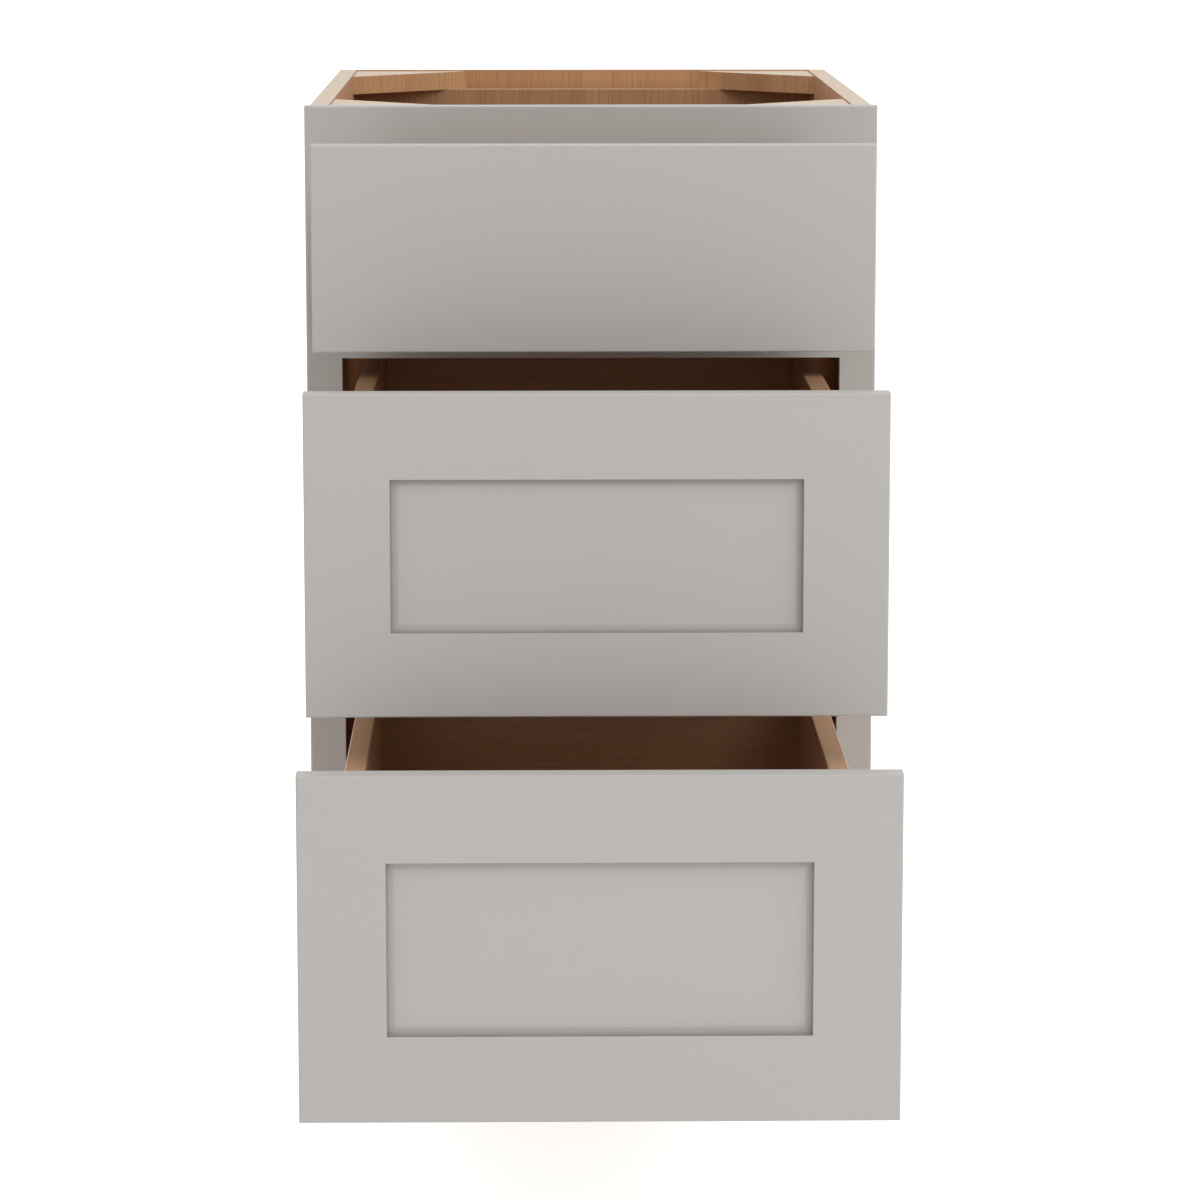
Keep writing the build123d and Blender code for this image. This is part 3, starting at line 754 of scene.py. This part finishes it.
def solids_of(node):
    """The points of each separate solid in a CAD node."""
    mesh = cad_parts[node].data
    points = [tuple(round(step, 6) for step in vertex.co) for vertex in mesh.vertices]
    leader = {point: point for point in points}

    def leader_of(point):
        while leader[point] != point:
            leader[point] = leader[leader[point]]
            point = leader[point]
        return point

    for triangle in mesh.polygons:
        first, *others = (points[index] for index in triangle.vertices)
        for other in others:
            leader[leader_of(other)] = leader_of(first)
    groups = defaultdict(list)
    for point in sorted(leader):
        groups[leader_of(point)].append(Vector(point))
    return [groups[key] for key in sorted(groups)]


def corners(points):
    low = Vector(min(point[axis] for point in points) for axis in range(3))
    high = Vector(max(point[axis] for point in points) for axis in range(3))
    return low, high


# ------------------------------------------------------------------ screws
def screw_pattern(fittings, length):
    """A pan-head wood screw on the Z axis: its head above the origin, its point below. It grows ring
    by ring: a step, as a share of the head's height or of the pitch, and the scale of its end."""
    neck, point_length = 1.2 * MM, 2.8 * MM
    core = fittings.shank_radius * 0.72
    crest = fittings.shank_radius / core
    pitch = fittings.thread_pitch
    head_rings = ((0.45, 1.0), (0.3, 0.93), (0.17, 0.84), (0.08, 0.72))
    thread_rings = ((0.35, crest), (0.15, 1.0), (0.35, 1 / crest), (0.15, 1.0))
    point_scales = (0.8, 0.12)
    bpy.ops.object.select_all(action="DESELECT")
    bpy.ops.mesh.primitive_cylinder_add(vertices=20, radius=core, depth=neck, location=(0, 0, -neck / 2))
    screw = bpy.context.active_object
    bpy.ops.object.transform_apply()
    start_editing(screw)
    pick_faces(screw, lambda middle, facing: facing.z > 0.9)
    grow(0.0, fittings.head_radius / core)
    for rise, scale in head_rings:
        grow(fittings.head_height * rise, scale)
    pick_faces(screw, lambda middle, facing: facing.z < -0.9 and middle.z < -0.9 * neck)
    turns = int((length - neck - point_length) / pitch)
    for _ in range(turns):
        for drop, scale in thread_rings:
            grow(-pitch * drop, scale)
    tip = length - neck - turns * pitch
    for scale in point_scales:
        grow(-tip / len(point_scales), scale)
    stop_editing()
    cut_cross(screw, fittings.head_radius, fittings.head_height)
    only(screw)
    bpy.ops.object.shade_smooth_by_angle(angle=SMOOTH_BELOW)
    return screw


def cut_cross(screw, head_radius, head_height):
    """Cuts the driver's cross into a screw head, narrower at its floor."""
    length, width, depth = head_radius * 1.15, head_radius * 0.27, head_height * 0.6
    floor_scale = 0.45
    for reach in ((length, width), (width, length)):
        half = Vector((*reach, 0.0)) / 2
        low = Vector((0, 0, head_height - depth)) - half
        arm = box_between(low, Vector((0, 0, head_height + depth)) + half)
        start_editing(arm)
        pick_faces(arm, lambda middle, facing: facing.z < -0.9)
        bpy.ops.transform.resize(value=(floor_scale, floor_scale, 1.0), center_override=(0, 0, 0))
        stop_editing()
        cut = screw.modifiers.new("driver cross", "BOOLEAN")
        cut.operation = "DIFFERENCE"
        cut.object = arm
        only(screw)
        bpy.ops.object.modifier_apply(modifier=cut.name)
        bpy.data.objects.remove(arm)


def screw_places(node, fittings):
    """Where a node's screws sit: each seat, turned so that the pattern's head lies on the CAD head.
    Each cross stops at its own angle, as driven screws do."""
    places = []
    for points in solids_of(node):
        low, high = corners(points)
        middle = (low + high) / 2
        far_end = [point.x for point in points if point.y > high.y - 0.1 * MM]
        head_at_back = max(far_end) - min(far_end) > fittings.head_radius * 1.5
        seat_y = high.y - fittings.head_height if head_at_back else low.y + fittings.head_height
        turn = Matrix.Rotation(-RIGHT_ANGLE if head_at_back else RIGHT_ANGLE, 4, "X")
        spin = Matrix.Rotation(middle.x * 400.0 + middle.z * 90.0, 4, "Z")
        places.append(Matrix.Translation((middle.x, seat_y, middle.z)) @ turn @ spin)
    return places


# ------------------------------------------------------------------ clips and bumpers
def clip_pattern(size, fittings):
    """A right-hand drawer clip of this outer size, its low corner at the origin: a body that is hollow
    and ribbed underneath, a ridged lever for the thumb towards the middle of the drawer, and a jaw."""
    jaw_reach = 18.9 * MM
    jaw_thickness = 3.0 * MM
    lever_reach = 10.0 * MM
    lever_span = (8.0 * MM, 26.0 * MM)
    lever_thickness = 3.0 * MM
    wall = 2.0 * MM
    hollow = 4.5 * MM
    ridge_half, ridge_root, ridge_rise = 0.5 * MM, 0.2 * MM, 0.7 * MM
    edge_break = 0.35 * MM
    body_low = Vector((lever_reach, 0.0, 0.0))
    body_high = Vector((size.x - jaw_reach, size.y, size.z))

    body = box_between(body_low, body_high)
    round_edges(body, lever_thickness, 4, lambda a, b: abs(a.z - b.z) > size.z / 2 and a.y > size.y / 2)
    start_editing(body)
    pick_faces(body, lambda middle, facing: facing.z < -0.9)
    bpy.ops.mesh.inset(thickness=wall)
    grow(hollow)
    stop_editing()

    parts = [body]
    step = (size.y - 2 * wall) / (fittings.clip_ribs + 1)
    for index in range(fittings.clip_ribs):
        y = wall + step * (index + 1)
        low = Vector((body_low.x + wall / 2, y - wall / 4, wall / 4))
        parts.append(box_between(low, Vector((body_high.x - wall / 2, y + wall / 4, hollow + wall / 4))))
    jaw = box_between((body_high.x - wall, 0.0, 0.0), (size.x, jaw_thickness, size.z))
    round_edges(jaw, jaw_thickness * 0.4, 3, lambda a, b: min(a.x, b.x) > size.x - MM and a.y != b.y)
    parts.append(jaw)

    lever = box_between((0.0, lever_span[0], 0.0), (body_low.x + wall, lever_span[1], lever_thickness))
    round_edges(lever, lever_thickness, 5, lambda a, b: max(a.x, b.x) < MM and a.z != b.z)
    parts.append(lever)
    ridge_step = (lever_span[1] - lever_span[0]) / (fittings.grip_ridges + 1)
    for index in range(fittings.grip_ridges):
        y = lever_span[0] + ridge_step * (index + 1)
        low = Vector((wall, y - ridge_half, lever_thickness - ridge_root))
        ridge = box_between(low, (body_low.x - wall / 2, y + ridge_half, lever_thickness + ridge_rise))
        round_edges(ridge, edge_break, 3, lambda a, b: min(a.z, b.z) > lever_thickness and a.x != b.x)
        parts.append(ridge)
    for part in (body, jaw, lever):
        soften(part, edge_break)
    clip = joined(*parts)
    bpy.ops.object.shade_smooth_by_angle(angle=SMOOTH_BELOW)
    return clip


def clip_places(node):
    """Where a pair of clips goes. The left one is the right one's mirror image."""
    places = []
    for points in solids_of(node):
        low, high = corners(points)
        if low.x > 0:
            places.append(Matrix.Translation(low))
        else:
            mirror = Matrix.Scale(-1.0, 4, (1.0, 0.0, 0.0))
            places.append(Matrix.Translation((high.x, low.y, low.z)) @ mirror)
    return places, high - low


def bumper_pattern(radius, height):
    """A domed pad whose flat face lies on the XY plane."""
    bpy.ops.object.select_all(action="DESELECT")
    bpy.ops.mesh.primitive_uv_sphere_add(segments=24, ring_count=12, radius=radius, location=(0, 0, 0))
    pad = bpy.context.active_object
    start_editing(pad)
    bpy.ops.mesh.select_all(action="SELECT")
    bpy.ops.mesh.bisect(plane_co=(0, 0, 0), plane_no=(0, 0, 1), use_fill=True, clear_inner=True)
    bpy.ops.mesh.select_all(action="SELECT")
    bpy.ops.transform.resize(value=(1.0, 1.0, height / radius), center_override=(0, 0, 0))
    stop_editing()
    bpy.ops.object.shade_smooth_by_angle(angle=math.radians(50))
    return pad


def bumper_places(node):
    """Where a front's pads go, each with its flat face on the back of the front."""
    places = []
    for points in solids_of(node):
        low, high = corners(points)
        middle = (low + high) / 2
        turn = Matrix.Rotation(-RIGHT_ANGLE, 4, "X")
        places.append(Matrix.Translation((middle.x, low.y, middle.z)) @ turn)
    return places, high - low


# ------------------------------------------------------------------ studio
def set_camera(scene, studio):
    bpy.ops.object.camera_add(
        location=tuple(studio.camera_place),
        rotation=(RIGHT_ANGLE - studio.camera_pitch, 0.0, -studio.camera_yaw),
    )
    camera = bpy.context.active_object
    camera.data.lens = studio.lens
    camera.data.clip_end = 200.0
    scene.camera = camera


def lay_floor(studio):
    """A pale floor that the camera sees as white, apart from the object's shadow."""
    bpy.ops.mesh.primitive_plane_add(size=60.0, location=(0, 0, 0))
    floor = bpy.context.active_object
    floor.name = "studio_floor"
    finish = Finish("studio_floor")
    grain = finish.even_noise(3.0, 1.0)
    shader = finish.node(
        "ShaderNodeBsdfPrincipled",
        {},
        {
            "Base Color": finish.shade(tuple(studio.floor), 0.99 + 0.02 * grain),
            "Roughness": 0.9,
            "Specular IOR Level": 0.0,
            "Emission Color": finish.shade((1.0, 1.0, 1.0), finish.seen() * studio.floor_glow),
            "Emission Strength": 1.0,
        },
    )
    finish.node("ShaderNodeOutputMaterial", {}, {"Surface": shader}, None)
    floor.data.materials.append(finish.owner)


def light_world(scene, studio):
    """Even light, a little brighter overhead and on the right, that the camera sees as white."""
    scene.world = bpy.data.worlds.new("studio")
    light = Shading(scene.world)
    towards = light.node("ShaderNodeTexCoord", output="Generated")
    x, _, z = light.node("ShaderNodeSeparateXYZ", {}, {0: towards}, None)
    level = studio.level + z * studio.from_above + x * studio.from_right
    colour = light.mix(light.shade((1.0, 1.0, 1.0), level), (1.0, 1.0, 1.0), light.seen())
    background = light.node("ShaderNodeBackground", {}, {"Color": colour, "Strength": 1.0})
    light.node("ShaderNodeOutputWorld", {}, {"Surface": background}, None)


def hang_softbox(studio):
    place = Vector(studio.key_place)
    turn = (Vector(studio.key_aim) - place).to_track_quat("-Z", "Y")
    bpy.ops.object.light_add(type="AREA", location=place, rotation=turn.to_euler())
    lamp = bpy.context.active_object
    lamp.name = "softbox"
    lamp.data.shape = "SQUARE"
    lamp.data.size = studio.key_size
    lamp.data.energy = studio.key_power


# ------------------------------------------------------------------ operators
class CABINET_OT_studio(bpy.types.Operator):
    """Sets up the camera, the pale floor and the soft light"""

    bl_idname = "cabinet.studio"
    bl_label = "Studio"

    def execute(self, context):
        studio = context.scene.cabinet_studio
        set_camera(context.scene, studio)
        lay_floor(studio)
        light_world(context.scene, studio)
        hang_softbox(studio)
        context.scene.view_settings.view_transform = "Standard"
        return {"FINISHED"}


class CABINET_OT_paint(bpy.types.Operator):
    """Paints the face frame, the drawer fronts and the toe kick board"""

    bl_idname = "cabinet.paint"
    bl_label = "Painted parts"

    def execute(self, context):
        paint = context.scene.cabinet_paint
        dress(painted(context.scene, "satin_paint_slab", paint.colour), "top_front_slab")
        # the face frame's paint is tinted to offset bounced light
        frame_paint = painted(context.scene, "satin_paint_frame", paint.frame_colour_against_bounce)
        dress(frame_paint, *starting("frame_", "toe_kick_board"))
        for row in PANELLED_ROWS:
            parts = starting(f"{row}_front_stile", f"{row}_front_rail", f"{row}_front_panel")
            dress(painted_front(context.scene, row), *parts)
        return {"FINISHED"}


class CABINET_OT_carcass(bpy.types.Operator):
    """Veneers the sides, back, deck, hanging rail and corner braces"""

    bl_idname = "cabinet.carcass"
    bl_label = "Cabinet panels"

    def execute(self, context):
        dress(side_panel_material(context.scene, 1), "side_panel_right")
        dress(side_panel_material(context.scene, -1), "side_panel_left")
        dress(back_panel_material(context.scene), "back_panel")
        dress(rail_material(context.scene), "hanging_rail")
        dress(deck_material(context.scene), "bottom_panel")
        dress(brace_material(context.scene), *starting("corner_brace"))
        return {"FINISHED"}


class CABINET_OT_drawer_boxes(bpy.types.Operator):
    """Finishes the dovetailed drawer boxes and their bottoms"""

    bl_idname = "cabinet.drawer_boxes"
    bl_label = "Drawer boxes"

    def execute(self, context):
        side = board_material(context.scene, "drawer_side_maple", "y", "z", "x", "y")
        dress(side, *named("_box_side_left", "_box_side_right"))
        end = board_material(context.scene, "drawer_end_maple", "x", "z", "y", "x")
        dress(end, *named("_box_front", "_box_back"))
        dress(drawer_bottom_material(context.scene), *named("_box_bottom"))
        return {"FINISHED"}


class CABINET_OT_runners(bpy.types.Operator):
    """Finishes the steel runners and their plastic rear sockets"""

    bl_idname = "cabinet.runners"
    bl_label = "Runners"

    def execute(self, context):
        dress(zinc_material(context.scene), *named("_runners"))
        dress(plastic_material(context.scene), "rear_brackets")
        return {"FINISHED"}


class CABINET_OT_clips(bpy.types.Operator):
    """Makes the plastic clips that lock each drawer to its runners"""

    bl_idname = "cabinet.clips"
    bl_label = "Locking clips"

    def execute(self, context):
        material = plastic_material(context.scene)
        _, size = clip_places("top_locking_clips")
        pattern = clip_pattern(size, context.scene.cabinet_fittings)
        for row in ROWS:
            node = f"{row}_locking_clips"
            places, _ = clip_places(node)
            name = f"{row}_drawer_clips"
            finished(copies(pattern, places), name, f"{row}_drawer", material, node)
        bpy.data.objects.remove(pattern)
        return {"FINISHED"}


class CABINET_OT_screws(bpy.types.Operator):
    """Makes the cross-head screws of the runners and drawer fronts"""

    bl_idname = "cabinet.screws"
    bl_label = "Screws"

    def execute(self, context):
        fittings = context.scene.cabinet_fittings
        material = screw_material(context.scene)
        pattern = screw_pattern(fittings, fittings.runner_screw)
        screws = copies(pattern, screw_places("runner_screws", fittings))
        finished(screws, "runner_screw_set", "cabinet", material, "runner_screws")
        bpy.data.objects.remove(pattern)
        pattern = screw_pattern(fittings, fittings.front_screw)
        for row in ROWS:
            node = f"{row}_front_screws"
            screws = copies(pattern, screw_places(node, fittings))
            finished(screws, f"{row}_front_screw_set", f"{row}_drawer", material, node)
        bpy.data.objects.remove(pattern)
        return {"FINISHED"}


class CABINET_OT_bumpers(bpy.types.Operator):
    """Makes the soft domed pads behind the drawer fronts"""

    bl_idname = "cabinet.bumpers"
    bl_label = "Bumpers"

    def execute(self, context):
        material = bumper_material(context.scene)
        _, size = bumper_places("top_front_bumpers")
        pattern = bumper_pattern(size.x / 2, size.y)
        for row in ROWS:
            node = f"{row}_front_bumpers"
            places, _ = bumper_places(node)
            pads = copies(pattern, places)
            finished(pads, f"{row}_bumper_pads", f"{row}_drawer", material, node)
        bpy.data.objects.remove(pattern)
        return {"FINISHED"}


# ------------------------------------------------------------------ the add-on
class CABINET_PT_sidebar(bpy.types.Panel):
    """Lists what makes the cabinet's finishes and fittings, and their settings"""

    bl_label = "Drawer base cabinet"
    bl_idname = "CABINET_PT_sidebar"
    bl_space_type = "VIEW_3D"
    bl_region_type = "UI"
    bl_category = "Cabinet"

    def draw(self, context):
        for operator in OPERATORS:
            self.layout.operator(operator.bl_idname)
        for name in SETTINGS:
            settings = getattr(context.scene, name)
            box = self.layout.box()
            for setting in settings.bl_rna.properties:
                if setting.identifier not in ("rna_type", "name"):
                    box.prop(settings, setting.identifier)


OPERATORS = (
    CABINET_OT_studio,
    CABINET_OT_paint,
    CABINET_OT_carcass,
    CABINET_OT_drawer_boxes,
    CABINET_OT_runners,
    CABINET_OT_clips,
    CABINET_OT_screws,
    CABINET_OT_bumpers,
)
SETTINGS = {
    "cabinet_paint": PaintSettings,
    "cabinet_wood": WoodSettings,
    "cabinet_fittings": FittingSettings,
    "cabinet_studio": StudioSettings,
}


def register():
    for kind in (*SETTINGS.values(), *OPERATORS, CABINET_PT_sidebar):
        bpy.utils.register_class(kind)
    for name, kind in SETTINGS.items():
        setattr(bpy.types.Scene, name, bpy.props.PointerProperty(type=kind))


def unregister():
    for name in SETTINGS:
        delattr(bpy.types.Scene, name)
    for kind in reversed((*SETTINGS.values(), *OPERATORS, CABINET_PT_sidebar)):
        bpy.utils.unregister_class(kind)


def main():
    register()
    for operator in OPERATORS:
        family, name = operator.bl_idname.split(".")
        getattr(getattr(bpy.ops, family), name)()


if __name__ == "__main__":
    main()
